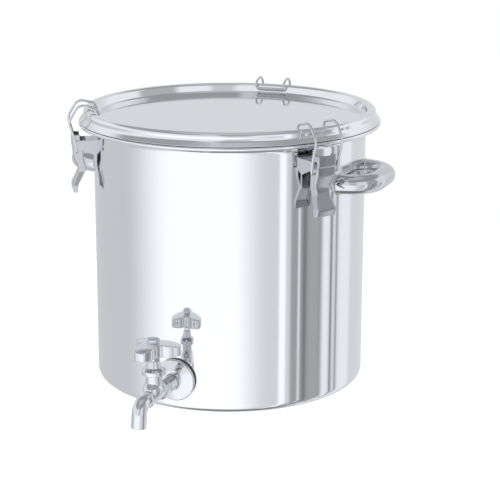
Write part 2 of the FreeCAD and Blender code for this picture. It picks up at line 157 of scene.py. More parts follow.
def rounded(points, bends, steps=8, closed=False, guard=0.3):
    """Samples along straight runs joined by tangent arcs.

    Each arc is centre + cos(t) * out + sin(t) * along, for t from 0 to the corner's turn. Long straight
    runs get a sample close to each end, so that smooth shading stays flat on them.
    """
    corners = np.asarray(points, float)
    count = len(corners)
    track = []
    for i, corner in enumerate(corners):
        if bends[i] == 0 or (not closed and i in (0, count - 1)):
            track.append(corner[None])
            continue
        back = unit(corners[i - 1] - corner)
        onward = unit(corners[(i + 1) % count] - corner)
        half = math.acos(max(-1.0, min(1.0, float(back @ onward)))) / 2
        centre = corner + unit(back + onward) * bends[i] / math.sin(half)
        start = corner + back * bends[i] / math.tan(half)
        t = np.linspace(0, math.pi - 2 * half, steps + 1)[:, None]
        track.append(centre + np.cos(t) * (start - centre) - np.sin(t) * back * bends[i])
    track = np.concatenate(track)
    following = np.roll(track, -1, axis=0)
    if not closed:
        track, last = track[:-1], track[-1:]
        following = following[:-1]
    run = following - track
    length = np.linalg.norm(run, axis=1, keepdims=True)
    keep = (length > 4 * guard)[:, 0]
    direction = run / np.maximum(length, 1e-9)
    near, far = track + direction * guard, following - direction * guard
    samples = np.stack([track, near, far], axis=1)
    mask = np.stack([length[:, 0] > 1e-6, keep, keep], axis=1)
    samples = samples[mask]
    return samples if closed else np.concatenate([samples, last])


def sheet_section(points, bends, sheet, steps=10):
    """The closed outline of a bent sheet: its middle line moved half a sheet to each side."""
    line = rounded(points, bends, steps)
    runs = np.diff(line, axis=0)
    runs /= np.linalg.norm(runs, axis=1, keepdims=True)
    along = np.concatenate([runs[:1], runs[:-1] + runs[1:], runs[-1:]])
    along /= np.linalg.norm(along, axis=1, keepdims=True)
    normal = np.stack([-along[:, 1], along[:, 0]], axis=1)
    return np.concatenate([line + normal * sheet / 2, (line - normal * sheet / 2)[::-1]])


def surface(name, grid, close_u=False, close_v=False):
    """A mesh from a grid of points P(u, v): each cell is a face, and touching rows and poles are merged."""
    rows, columns = grid.shape[:2]
    u = np.arange(rows if close_u else rows - 1)
    v = np.arange(columns if close_v else columns - 1)
    a, b = [index.ravel() for index in np.meshgrid(u, v, indexing="ij")]
    a1, b1 = (a + 1) % rows, (b + 1) % columns
    faces = np.stack([a * columns + b, a1 * columns + b, a1 * columns + b1, a * columns + b1], axis=1)
    mesh = bpy.data.meshes.new(name)
    mesh.from_pydata((grid.reshape(-1, 3) * MM).tolist(), [], faces.tolist())
    work = bmesh.new()
    work.from_mesh(mesh)
    bmesh.ops.remove_doubles(work, verts=work.verts, dist=2e-6)
    bmesh.ops.recalc_face_normals(work, faces=work.faces)
    work.to_mesh(mesh)
    work.free()
    mesh.polygons.foreach_set("use_smooth", np.ones(len(mesh.polygons), bool))
    piece = bpy.data.objects.new(name, mesh)
    bpy.context.scene.collection.objects.link(piece)
    return piece


def spin_points(section, around):
    """A flat (radius, height) outline turned about Z: P = (r cos a, r sin a, z)."""
    a = np.linspace(0, 2 * math.pi, around, endpoint=False)
    r, z = section[:, :1], section[:, 1:]
    return np.stack([r * np.cos(a), r * np.sin(a), z + 0 * a], axis=2)


def lathe(name, points, bends, around=128, steps=6, place=lambda p: p):
    """A solid of revolution from the closed outline through (radius, height) corners."""
    section = rounded(points, bends, steps, closed=True)
    return surface(name, place(spin_points(section, around)), close_u=True, close_v=True)


def pipe_points(route, radius, around):
    """A circle carried along a route: P = route(s) + radius * (cos a * side + sin a * up), untwisted."""
    along = np.gradient(route, axis=0)
    along /= np.linalg.norm(along, axis=1, keepdims=True)
    side = unit(np.cross(along[0], [0.31, 0.17, 0.94]))
    sides = []
    for direction in along:
        side = unit(side - direction * (side @ direction))
        sides.append(side)
    sides = np.array(sides)
    ups = np.cross(along, sides)
    a = np.linspace(0, 2 * math.pi, around, endpoint=False)[None, :, None]
    radius = np.broadcast_to(radius, len(route))[:, None, None]
    return route[:, None] + radius * (np.cos(a) * sides[:, None] + np.sin(a) * ups[:, None])


def capped(grid, rounding=0.0):
    """A grid of rings with both ends brought to a point in the middle."""
    ends = [np.broadcast_to(ring.mean(axis=0), ring.shape)[None] for ring in (grid[0], grid[-1])]
    if not rounding:
        return np.concatenate([ends[0], grid, ends[1]])
    out = [unit(grid[0].mean(0) - grid[1].mean(0)), unit(grid[-1].mean(0) - grid[-2].mean(0))]
    domes = []
    for ring, middle, way in ((grid[0], ends[0][0], out[0]), (grid[-1], ends[1][0], out[1])):
        t = np.linspace(0, math.pi / 2, 6)[1:, None, None]
        domes.append(middle + np.cos(t) * (ring - middle) + np.sin(t) * way * rounding)
    return np.concatenate([domes[0][::-1], grid, domes[1]])


def turned_to(azimuth):
    """Turns points drawn on +X about Z, to the direction a joint or box of the frame gives."""
    c, s = math.cos(azimuth), math.sin(azimuth)
    turn = np.array([[c, s, 0], [-s, c, 0], [0, 0, 1]])
    return lambda p: p @ turn


def along_inlet(p):
    """Points drawn up the Z axis, laid along the tap's inlet: z becomes the distance off the wall."""
    return np.stack([p[..., 0], -WALL_R - p[..., 2], TAP_Z + p[..., 1]], axis=-1)


def on_spindle(p):
    return p + np.array([0, -WALL_R - SPINDLE_OFF, 0])


def dress(piece, finish, body, *nodes, slot=None):
    piece.data.materials.append(finish)
    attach(piece, body)
    if nodes:
        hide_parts(*nodes)
    return piece


# ---------------------------------------------------------------- shader arithmetic

class Flow:
    """A value running through a material, on which arithmetic adds Math nodes."""

    def __init__(self, recipe, socket):
        self.recipe, self.socket = recipe, socket

    def math(self, operation, *others):
        inputs = dict(enumerate((self,) + others))
        return self.recipe.node("ShaderNodeMath", {"operation": operation}, inputs)

    def __add__(self, other):
        return self.math("ADD", other)

    __radd__ = __add__

    def __sub__(self, other):
        return self.math("SUBTRACT", other)

    def __rsub__(self, other):
        return self.recipe.node("ShaderNodeMath", {"operation": "SUBTRACT"}, {0: other, 1: self})

    def __mul__(self, other):
        return self.math("MULTIPLY", other)

    __rmul__ = __mul__

    def __truediv__(self, other):
        return self.math("DIVIDE", other)

    def __pow__(self, other):
        return self.math("POWER", other)

    def between(self, low, high):
        """0 below low, 1 above high, smooth in between."""
        settings = {"interpolation_type": "SMOOTHSTEP"}
        inputs = {"Value": self, "From Min": low, "From Max": high}
        return self.recipe.node("ShaderNodeMapRange", settings, inputs)

    def blend(self, other, share):
        """This value where share is 0, the other where share is 1."""
        return self + (other - self) * share

    def window(self, low, high, soft):
        """1 from low to high with soft edges, 0 elsewhere."""
        return self.between(low - soft, low + soft) * (1 - self.between(high - soft, high + soft))


class Recipe:
    """A node tree under construction, for a material or the studio."""

    def __init__(self, tree):
        self.tree = tree
        tree.nodes.clear()

    def node(self, kind, settings=None, inputs=None, output=0):
        made = self.tree.nodes.new(kind)
        for key, value in (settings or {}).items():
            setattr(made, key, value)
        for key, value in (inputs or {}).items():
            if isinstance(value, Flow):
                self.tree.links.new(value.socket, made.inputs[key])
            else:
                made.inputs[key].default_value = value
        return Flow(self, made.outputs[output])

    def place(self):
        """The point's own X, Y and Z in the frame."""
        spot = self.node("ShaderNodeTexCoord", output="Object")
        return [self.node("ShaderNodeSeparateXYZ", None, {0: spot}, output=axis) for axis in range(3)]

    def vector(self, x, y, z):
        return self.node("ShaderNodeCombineXYZ", None, {0: x, 1: y, 2: z})

    def noise(self, vector, scale, detail=3.0, roughness=0.5):
        inputs = {"Vector": vector, "Scale": scale, "Detail": detail, "Roughness": roughness}
        return self.node("ShaderNodeTexNoise", None, inputs)

    def mix(self, share, first, second):
        """A colour between two."""
        inputs = {0: share, 6: first, 7: second}
        return self.node("ShaderNodeMix", {"data_type": "RGBA"}, inputs, output=2)

    def bump(self, height, strength, distance):
        inputs = {"Strength": strength, "Distance": distance, "Height": height}
        return self.node("ShaderNodeBump", None, inputs)


def rgba(r, g, b):
    return (r, g, b, 1.0)


def finish(name, recipe_for, **constants):
    """A material: recipe_for(recipe) gives what varies, constants are set on the shader's own sockets."""
    material = bpy.data.materials.new(name)
    material.use_nodes = True
    recipe = Recipe(material.node_tree)
    varying = recipe_for(recipe)
    inputs = {key.replace("_", " "): value for key, value in constants.items()}
    inputs.update(varying)
    shader = recipe.node("ShaderNodeBsdfPrincipled", None, inputs)
    output = recipe.tree.nodes.new("ShaderNodeOutputMaterial")
    recipe.tree.links.new(shader.socket, output.inputs["Surface"])
    return material


# ---------------------------------------------------------------- finishes

def around_axis(x, y):
    """The angle about the tank's axis, and the distance from it."""
    return y.math("ARCTAN2", x), (x * x + y * y) ** 0.5


def polished(recipe, lines, tint, dull=0.035, smudge_scale=9.0, line_share=0.03, depth=0.00002):
    """Mirror-polished steel: hairlines along one way, faint wipe marks, and a tint that barely wanders."""
    x, y, z = recipe.place()
    spot = recipe.vector(x, y, z)
    hair = recipe.noise(lines, 1.0, detail=4.0, roughness=0.6)
    smudge = recipe.noise(spot, smudge_scale, detail=5.0, roughness=0.62).between(0.47, 0.72)
    specks = recipe.noise(spot, 420.0, detail=2.0).between(0.70, 0.80)
    shade = recipe.noise(spot, 3.0, detail=2.0)
    light = tuple(min(1.0, c * 1.03) for c in tint)
    dark = tuple(c * 0.955 for c in tint)
    colour = recipe.mix(shade, rgba(*dark), rgba(*light))
    colour = recipe.mix(specks * 0.16, colour, rgba(*(c * 0.72 for c in tint)))
    return {
        "Base Color": colour,
        "Roughness": dull + hair * line_share + smudge * 0.03 + specks * 0.05,
        "Normal": recipe.bump(hair + smudge * 0.25, 0.22, depth),
    }


def wall_steel(recipe):
    """Rolled sheet, polished outside and satin inside: hairlines follow the wall's girth."""
    x, y, z = recipe.place()
    angle, radius = around_axis(x, y)
    lines = recipe.vector(angle * 2.2, radius * 40.0, z * 1500.0)
    looks = polished(recipe, lines, (0.83, 0.835, 0.845))
    bore = radius.between((WALL_R - 0.4) * MM, (WALL_R - 1.1) * MM) * z.between(9.5 * MM, 10.5 * MM)
    base = radius.between(BASE_FLAT_R * MM, (BASE_FLAT_R - 1.0) * MM) * z.between(0.5 * MM, 1.1 * MM)
    looks["Roughness"] = looks["Roughness"] + (bore + base) * 0.36
    return looks


def lid_steel(recipe):
    """Spun sheet: hairlines are circles about the lid's middle."""
    x, y, z = recipe.place()
    angle, radius = around_axis(x, y)
    lines = recipe.vector(angle * 1.8, radius * 1400.0, z * 500.0)
    return polished(recipe, lines, (0.84, 0.845, 0.855), dull=0.04)


def pipe_steel(recipe):
    """Polished pipe: fine lines run round it, with a satin haze on the grip; its tint is painted shade,
    darker than the wall's steel.
    """
    x, y, z = recipe.place()
    lines = recipe.vector(x * 60.0, y * 900.0, z * 60.0)
    # Painted shade: this tint is kept darker than the wall's steel to stand in for the dark reflections and
    # the handle's own shadow on its inner side.
    return polished(recipe, lines, (0.68, 0.685, 0.70), dull=0.05, line_share=0.05, smudge_scale=26.0)


def pressed_steel(recipe):
    """Clip sheet: drawn lines down its length, tumbling marks, duller worn patches, and a tint darkened as
    painted shade.
    """
    x, y, z = recipe.place()
    lines = recipe.vector(x * 900.0, y * 900.0, z * 35.0)
    # Painted shade: the clip steel's tint is set dark to stand in for the shade and dark reflections on the
    # levers and brackets.
    tint = (0.52, 0.525, 0.54)
    return polished(recipe, lines, tint, dull=0.10, line_share=0.10, smudge_scale=60.0, depth=0.00004)


def wire_steel(recipe):
    """Drawn spring wire: long faint drawing lines and a slightly grey skin."""
    x, y, z = recipe.place()
    lines = recipe.vector(x * 700.0, y * 700.0, z * 60.0)
    return polished(recipe, lines, (0.64, 0.645, 0.66), dull=0.07, line_share=0.06, smudge_scale=80.0)


def chrome_plate(recipe):
    """Bright chrome on cast brass: a soft ripple left from the casting, water marks and tiny pits."""
    x, y, z = recipe.place()
    spot = recipe.vector(x, y, z)
    ripple = recipe.noise(spot, 70.0, detail=2.0, roughness=0.4)
    marks = recipe.noise(spot, 38.0, detail=5.0, roughness=0.65).between(0.55, 0.75)
    pits = recipe.noise(spot, 900.0, detail=1.0).between(0.74, 0.80)
    colour = recipe.mix(marks * 0.35 + pits * 0.4, rgba(0.74, 0.75, 0.77), rgba(0.60, 0.61, 0.63))
    return {
        "Base Color": colour,
        "Roughness": 0.045 + marks * 0.07 + pits * 0.12,
        "Normal": recipe.bump(ripple - pits * 0.3, 0.3, 0.0001),
    }


def machined_brass(recipe):
    """Turned brass: tool lines round the spindle's axis and a brown bloom in patches."""
    x, y, z = recipe.place()
    spot = recipe.vector(x, y, z)
    lines = recipe.noise(recipe.vector(x * 40.0, y * 40.0, z * 2600.0), 1.0, detail=2.0)
    bloom = recipe.noise(spot, 120.0, detail=4.0).between(0.45, 0.7)
    return {
        "Base Color": recipe.mix(bloom, rgba(0.74, 0.58, 0.30), rgba(0.50, 0.36, 0.17)),
        "Roughness": 0.22 + lines * 0.14 + bloom * 0.15,
        "Normal": recipe.bump(lines, 0.4, 0.00005),
    }


def moulded_silicone(recipe):
    """Translucent white seal: cloudy, with a faint mould texture."""
    x, y, z = recipe.place()
    spot = recipe.vector(x, y, z)
    cloud = recipe.noise(spot, 40.0, detail=3.0)
    grain = recipe.noise(spot, 1400.0, detail=2.0)
    return {
        "Base Color": recipe.mix(cloud, rgba(0.80, 0.80, 0.78), rgba(0.90, 0.90, 0.88)),
        "Roughness": 0.42 + cloud * 0.12,
        "Normal": recipe.bump(grain, 0.25, 0.00004),
    }


def black_rubber(recipe):
    """Cut rubber sheet: fine grain and a grey bloom."""
    x, y, z = recipe.place()
    spot = recipe.vector(x, y, z)
    grain = recipe.noise(spot, 1800.0, detail=3.0)
    bloom = recipe.noise(spot, 90.0, detail=4.0).between(0.5, 0.75)
    return {
        "Base Color": recipe.mix(bloom, rgba(0.020, 0.020, 0.022), rgba(0.055, 0.055, 0.058)),
        "Roughness": 0.55 + bloom * 0.2,
        "Normal": recipe.bump(grain, 0.5, 0.00006),
    }


def packed_fibre(recipe):
    """Pressed fibre: matted strands in two browns."""
    x, y, z = recipe.place()
    strands = recipe.noise(recipe.vector(x * 3.0, y, z * 5.0), 600.0, detail=5.0, roughness=0.7)
    return {
        "Base Color": recipe.mix(strands, rgba(0.30, 0.25, 0.19), rgba(0.58, 0.52, 0.42)),
        "Roughness": 0.75 + strands * 0.15,
        "Normal": recipe.bump(strands, 0.8, 0.0002),
    }


def index_enamel(recipe):
    """The cap's blue-grey disc: glossy, slightly mottled, with fine wipe scratches."""
    x, y, z = recipe.place()
    spot = recipe.vector(x, y, z)
    mottle = recipe.noise(spot, 160.0, detail=3.0)
    scratches = recipe.noise(recipe.vector(x * 2400.0, y * 90.0, z), 1.0, detail=2.0).between(0.62, 0.78)
    return {
        "Base Color": recipe.mix(mottle, rgba(0.20, 0.25, 0.34), rgba(0.30, 0.35, 0.45)),
        "Roughness": 0.16 + mottle * 0.08 + scratches * 0.2,
        "Normal": recipe.bump(scratches, 0.15, 0.00002),
    }


def weld_steel(recipe):
    """A polished-over weld: ripples across the bead and a breath of straw heat tint."""
    x, y, z = recipe.place()
    spot = recipe.vector(x, y, z)
    ripples = recipe.noise(spot, 520.0, detail=1.0)
    tint = recipe.noise(spot, 90.0, detail=3.0).between(0.4, 0.75)
    return {
        "Base Color": recipe.mix(tint, rgba(0.74, 0.75, 0.76), rgba(0.66, 0.62, 0.55)),
        "Roughness": 0.20 + ripples * 0.15,
        "Normal": recipe.bump(ripples, 0.5, 0.0002),
    }


WALL_STEEL = finish("wall steel", wall_steel, Metallic=1.0)
LID_STEEL = finish("lid steel", lid_steel, Metallic=1.0)
PIPE_STEEL = finish("pipe steel", pipe_steel, Metallic=1.0)
CLIP_STEEL = finish("pressed clip steel", pressed_steel, Metallic=1.0)
SPRING_WIRE = finish("drawn spring wire", wire_steel, Metallic=1.0)
CHROME = finish("chrome plate", chrome_plate, Metallic=1.0)
BRASS = finish("machined brass", machined_brass, Metallic=1.0)
SILICONE = finish("moulded silicone", moulded_silicone, Subsurface_Weight=0.15, Subsurface_Scale=0.004)
RUBBER = finish("black rubber", black_rubber)
FIBRE = finish("packed fibre", packed_fibre)
ENAMEL = finish("index enamel", index_enamel, Coat_Weight=0.6, Coat_Roughness=0.06)
WELD = finish("polished weld", weld_steel, Metallic=1.0)


# ---------------------------------------------------------------- studio

def place_camera():
    """A long lens looking down on the tank, its frame shifted to seat the tank beside the middle."""
    data = bpy.data.cameras.new("camera")
    camera = bpy.data.objects.new("camera", data)
    bpy.context.scene.collection.objects.link(camera)
    across, away = math.sin(VIEW_AZIMUTH), math.cos(VIEW_AZIMUTH)
    camera.location = (VIEW_DISTANCE * across, -VIEW_DISTANCE * away, VIEW_HEIGHT)
    camera.rotation_euler = (math.pi / 2 - VIEW_TILT, 0, VIEW_AZIMUTH)
    data.sensor_width = 36.0
    data.lens = VIEW_LENS
    data.shift_x, data.shift_y = VIEW_SHIFT
    data.clip_start = 0.05
    bpy.context.scene.camera = camera


def studio_tone(turn, rise):
    """White studio walls with a few dark gaps between the soft lights, by direction.

    turn is the direction's angle from the camera's side, in degrees, positive to its right; rise is its
    angle above the horizon. Five belts are blended by rise: the dark floor, the walls, the lamps, their
    stands and the ceiling.
    """
    walls = turn.between(-100, -46) * 0.56 + 0.66
    walls = walls - turn.between(0, 34) * 0.46
    walls = walls + turn.window(42, 48, 1.5) * 0.40
    walls = walls - turn.window(52.5, 84, 2) * 0.37
    walls = walls + turn.window(59.5, 61.5, 1) * 0.50
    walls = walls - turn.window(64, 68, 1.5) * 0.15
    walls = walls + turn.window(71, 80, 2) * 0.04
    walls = walls + turn.window(86, 92.5, 1.5) * 0.20
    walls = walls - turn.window(94.5, 97, 1) * 0.50
    walls = walls - turn.window(101.5, 104, 1) * 0.38
    walls = walls + turn.window(106, 124, 4) * 0.20
    behind = turn.math("ABSOLUTE").between(125, 150)
    lamps = 0.95 - turn.window(-5, 17, 5) * 0.30 - turn.window(50, 88, 5) * 0.45 - behind * 0.20
    stands = turn.window(-30, -12, 6) * 0.3 + 0.40
    tone = walls.blend(lamps, rise.between(-4, 8)).blend(0.25, rise.between(-58, -72))
    tone = tone.blend(stands, rise.between(32, 42))
    return tone.blend(0.62, rise.between(60, 74)).math("MAXIMUM", 0.02)


def light_studio():
    """The studio: pale walls seen directly, and softly graded walls seen in the steel."""
    world = bpy.data.worlds.new("studio")
    bpy.context.scene.world = world
    world.use_nodes = True
    recipe = Recipe(world.node_tree)
    way = recipe.node("ShaderNodeTexCoord", output="Generated")
    x, y, z = [recipe.node("ShaderNodeSeparateXYZ", None, {0: way}, output=axis) for axis in range(3)]
    c, s = math.cos(VIEW_AZIMUTH), math.sin(VIEW_AZIMUTH)
    right = x * c + y * s
    near = x * s - y * c
    turn = right.math("ARCTAN2", near) * (180 / math.pi)
    rise = z.math("ARCSINE") * (180 / math.pi)
    tone = studio_tone(turn, rise)
    tinted = recipe.vector(tone * 0.985, tone, tone * 1.04)
    graded = recipe.node("ShaderNodeBackground", None, {0: tinted, 1: 1.0})
    plain = recipe.node("ShaderNodeBackground", None, {0: rgba(1, 1, 1), 1: 1.0})
    path = recipe.node("ShaderNodeLightPath", output="Is Camera Ray")
    mixed = recipe.node("ShaderNodeMixShader", None, {0: path, 1: graded, 2: plain})
    output = recipe.tree.nodes.new("ShaderNodeOutputWorld")
    recipe.tree.links.new(mixed.socket, output.inputs["Surface"])


def soft_light(name, where, size, power):
    """A large square light facing the tank."""
    data = bpy.data.lights.new(name, "AREA")
    data.size = size
    data.energy = power
    light = bpy.data.objects.new(name, data)
    bpy.context.scene.collection.objects.link(light)
    light.location = where
    aim = np.array([0, 0, 0.2]) - np.array(where)
    level = math.hypot(aim[0], aim[1])
    light.rotation_euler = (math.atan2(level, -aim[2]), 0, math.atan2(-aim[0], aim[1]))
    light.visible_glossy = False


def lay_floor():
    """A pale floor that fades into the studio's white, and is left out of the steel's reflections."""
    a = np.linspace(0, 2 * math.pi, 96, endpoint=False)
    r = np.array(FLOOR_RINGS)[:, None]
    floor = surface("floor", np.stack([r * np.cos(a), r * np.sin(a), 0 * r * a], axis=2), close_v=True)
    material = bpy.data.materials.new("pale floor")
    material.use_nodes = True
    recipe = Recipe(material.node_tree)
    x, y, _ = recipe.place()
    radius = around_axis(x, y)[1]
    matt = recipe.node("ShaderNodeBsdfPrincipled", None, {
        "Base Color": rgba(0.90, 0.90, 0.90), "Roughness": 1.0, "Specular IOR Level": 0.0,
        "Emission Color": rgba(1, 1, 1), "Emission Strength": FLOOR_GLOW})
    clear = recipe.node("ShaderNodeBsdfTransparent")
    mixed = recipe.node("ShaderNodeMixShader", None, {0: radius.between(*FLOOR_FADE), 1: matt, 2: clear})
    output = recipe.tree.nodes.new("ShaderNodeOutputMaterial")
    recipe.tree.links.new(mixed.socket, output.inputs["Surface"])
    floor.data.materials.append(material)
    floor.visible_glossy = False


# ---------------------------------------------------------------- the tank and its lid

def make_tank():
    """The drawn shell, turned from its sheet section: base, wall, flare, flange and open curl."""
    outline = [
        (0, WALL / 2), (WALL_R - WALL / 2, WALL / 2), (WALL_R - WALL / 2, FLANGE_Z),
        (BEAD_CENTRE_R + BEAD_R, FLANGE_Z), (BEAD_CENTRE_R + BEAD_R, FLANGE_Z + 2 * BEAD_R),
        (BEAD_CENTRE_R - BEAD_R, FLANGE_Z + 2 * BEAD_R), (BEAD_CENTRE_R - BEAD_R, FLANGE_Z + BEAD_R)]
    section = sheet_section(outline, TANK_BENDS, WALL)
    shell = surface("tank_sheet", spin_points(section, 360), close_u=True, close_v=True)
    dress(shell, WALL_STEEL, "tank", "tank_shell", "tank_rim", slot="tank_steel")


def make_lid():
    """The spun lid and the seal in its channel, both turned from their sheet sections."""
    section = sheet_section(LID_OUTLINE, LID_BENDS, LID_SHEET, steps=16)
    pan = surface("lid_sheet", spin_points(section, 360), close_u=True, close_v=True)
    dress(pan, LID_STEEL, "lid", "lid_pan", slot="lid_steel")
    section = sheet_section(SEAL_OUTLINE, SEAL_BENDS, SEAL_SHEET)
    seal = surface("lid_seal", spin_points(section, 240), close_u=True, close_v=True)
    dress(seal, SILICONE, "lid", "lid_gasket", slot="silicone")


def make_handles():
    """Bent pipes that reach a little into the wall's sheet, with a weld bead round each foot."""
    for node in ("handle_right", "handle_left"):
        low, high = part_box(node)
        height = (low.z + high.z) / 2 / MM
        azimuth = 0.0 if high.x > 0 else math.pi
        grip = WALL_R + PIPE_OFF
        y = PIPE_HALF_SPAN
        corners = [(PIPE_START, -y, height), (grip, -y, height), (grip, y, height), (PIPE_START, y, height)]
        route = rounded(corners, [0, PIPE_BEND, PIPE_BEND, 0], steps=24, guard=2.0)
        place = turned_to(azimuth)
        grid = pipe_points(route, PIPE_R, 64)
        wall = np.sqrt((WALL_R - 0.5) ** 2 - grid[..., 1] ** 2)
        middle = len(grid) // 2
        inside = (grid[..., 0] < wall).all(axis=1)
        first = np.argmax(~inside[:middle])
        last = len(grid) - np.argmax(~inside[::-1])
        grid = grid[first - 1:last + 1]
        wall = wall[first - 1:last + 1]
        grid[..., 0] = np.maximum(grid[..., 0], wall)
        pipe = surface(node + "_pipe", place(capped(grid)), close_v=True)
        dress(pipe, PIPE_STEEL, "tank", node, slot="pipe_steel")
        for side in (-1, 1):
            bead = weld_bead(side * y, height)
            dress(surface(f"{node}_weld_{(side + 3) // 2}", place(bead), close_u=True, close_v=True),
                  WELD, "tank", slot="pipe_steel")


def weld_bead(y, height):
    """A bead where the pipe meets the wall.

    Its line is the pipe's circle dropped onto the tank's cylinder, x = sqrt(R^2 - y^2); its section is a
    small circle whose radius ripples round the line.
    """
    a = np.linspace(0, 2 * math.pi, 160, endpoint=False)
    line_y = y + (PIPE_R + WELD_GAP) * np.cos(a)
    line_z = height + (PIPE_R + WELD_GAP) * np.sin(a)
    line = np.stack([np.sqrt(WALL_R ** 2 - line_y ** 2), line_y, line_z], axis=1)
    out = line * [1, 1, 0] / WALL_R
    side = np.stack([0 * a, np.cos(a), np.sin(a)], axis=1)
    size = WELD_SIZE + 0.12 * np.sin(a * 46) + 0.1 * np.sin(a * 3 + y)
    t = np.linspace(0, 2 * math.pi, 12, endpoint=False)[None, :, None]
    return line[:, None] + size[:, None, None] * (np.cos(t) * side[:, None] + np.sin(t) * out[:, None])


# ---------------------------------------------------------------- the toggle clips

def section_at(outline, bends, heights):
    """The first coordinate of a rounded (value, z) outline, read off at the given heights."""
    line = rounded(outline, bends, steps=10)[::-1]
    return np.interp(heights, line[:, 1], line[:, 0])


def lever_points():
    """A pressed channel as level U sections stacked down its face.

    Each section runs from one flange's edge out to the face, round a corner arc, across with a slight
    crown, and back; the face, the edge and the half width are read off their own outlines at that height.
    """
    above = np.linspace(LEVER_ENDS[0], LEVER_STEP[0], 26)
    below = np.linspace(LEVER_STEP[1], LEVER_ENDS[1], 74)
    z = np.concatenate([above, below])[:, None]
    face = section_at(LEVER_FACE, LEVER_FACE_BENDS, z) + WALL_R
    edge = section_at(LEVER_EDGE, LEVER_EDGE_BENDS, z) + WALL_R
    half = section_at(LEVER_SIDE, LEVER_SIDE_BENDS, z)
    corner = LEVER_CORNER
    flange = np.linspace(0, 1, 6)[None]
    t = np.linspace(0, math.pi / 2, 8)[None]
    across = np.linspace(1, 0, 8)[None, 1:]
    x = [edge + (face - corner - edge) * flange, face - corner + corner * np.sin(t[:, 1:]), face + 0 * across]
    y = [half + 0 * flange, half - corner + corner * np.cos(t[:, 1:]), (half - corner) * across]
    x, y = np.concatenate(x, axis=1), np.concatenate(y, axis=1)
    crown = LEVER_CROWN * np.clip(1 - (y / half) ** 2, 0, 1)
    x = x + crown
    x = np.concatenate([x, x[:, -2::-1]], axis=1)
    y = np.concatenate([y, -y[:, -2::-1]], axis=1)
    return np.stack([x, y, z + 0 * x], axis=2)


def make_lever(number, place):
    lever = surface(f"lever_{number}", place(lever_points()))
    thick = lever.modifiers.new("sheet", "SOLIDIFY")
    thick.thickness = LEVER_SHEET * MM
    thick.offset = -1.0
    thick.use_even_offset = True
    soft = lever.modifiers.new("soft edges", "BEVEL")
    soft.width = 0.25 * MM
    soft.segments = 2
    soft.limit_method = "ANGLE"
    soft.angle_limit = math.radians(50)
    dress(lever, CLIP_STEEL, f"clip_lever_{number}", f"clip_lever_{number}", slot="clip_steel")


def make_bail(number, place):
    """One wire from eye to eye: the half route and its mirror image."""
    end, arm = BAIL_HALF_WIDTHS
    half = [(BAIL_EYE[0], end, BAIL_EYE[1])] + [(x, arm, z) for x, z in [BAIL_EYE] + BAIL_OUTLINE]
    points = [(x, -y, z) for x, y, z in half] + half[::-1]
    route = rounded(points, BAIL_BENDS + BAIL_BENDS[::-1], steps=14, guard=1.0)
    grid = capped(pipe_points(route, WIRE_R, 20), rounding=0.5)
    wire = surface(f"bail_{number}", place(grid), close_v=True)
    dress(wire, SPRING_WIRE, f"clip_bail_{number}", f"clip_bail_{number}", slot="spring_wire")


def make_clips():
    for number in (1, 2, 3):
        pivot = JOINTS[f"clip_lever_{number}"]["pos_m"]
        place = turned_to(math.atan2(pivot[1], pivot[0]))
        make_lever(number, place)
        make_bail(number, place)
        for part in ("bracket", "pivot_pin"):
            set_finish(f"clip_{part}_{number}", CLIP_STEEL)


# ---------------------------------------------------------------- the tap

def set_finish(node, material):
    """Gives a CAD node that stays in view its finish."""
    data = frame["nodes"][node].data
    data.materials.clear()
    data.materials.append(material)


def egg(centre, radii):
    """An ellipsoid: centre + (a cos v cos u, b cos v sin u, c sin v), from pole to pole."""
    u = np.linspace(0, 2 * math.pi, 96, endpoint=False)[None]
    v = np.linspace(-math.pi / 2, math.pi / 2, 49)[:, None]
    return np.asarray(centre) + np.asarray(radii) * np.stack(
        [np.cos(v) * np.cos(u), np.cos(v) * np.sin(u), np.sin(v) + 0 * u], axis=2)


def make_tap_body():
    """The cast body: turned neck and barrel, an egg between them, and the bent spout with its collar."""
    pieces = [
        lathe("tap_tail", TAIL_OUTLINE, [0, 0, 0.3, 0, 0, 0.5, 0], place=along_inlet),
        lathe("tap_neck", NECK_OUTLINE, [0, 0, 14.0, 8.0, 0], steps=12, place=along_inlet),
        lathe("tap_barrel", BARREL_OUTLINE, [0, 6.0, 10.0, 12.0, 0.5, 0], steps=16, place=on_spindle),
        surface("tap_belly", egg((0, -WALL_R - BELLY_OFF, BELLY_Z), BELLY_RADII), close_v=True),
    ]
    corners = [(0, -WALL_R - off, z) for off, z in SPOUT_ROUTE]
    route = rounded(corners, [0, SPOUT_BEND, 0], steps=24, guard=1.0)
    outer = pipe_points(route, SPOUT_R, 64)
    bore = pipe_points(route, SPOUT_BORE_R, 64)[::-1]
    way = unit(route[-1] - route[-2])
    rim = outer[-1:]
    lip = [rim + way * -0.6, rim * 0.93 + route[-1] * 0.07, bore[:1] * 0.97 + rim * 0.03]
    grid = np.concatenate([outer[:-1]] + lip + [bore[:1] - way * 0.8, bore[1:]])
    pieces.append(surface("tap_spout", capped(grid), close_v=True))
    run = unit(route[1] - route[0])
    collar = spin_points(rounded(SPOUT_COLLAR, [0, 1.1, 1.1, 0], closed=True), 96)
    foot = route[0] + run * SPOUT_COLLAR_AT
    pieces.append(surface("tap_collar", tilt_to(collar, foot, run), True, True))
    for piece in pieces:
        dress(piece, CHROME, "tank", slot="tap_chrome")
    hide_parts("tap_body")


def tilt_to(points, where, way):
    """Points drawn up the Z axis, turned about X so that it runs along way, and moved to where."""
    side = np.array([1.0, 0, 0])
    forward = np.cross(way, side)
    return points[..., :1] * side + points[..., 1:2] * forward + points[..., 2:] * way + where


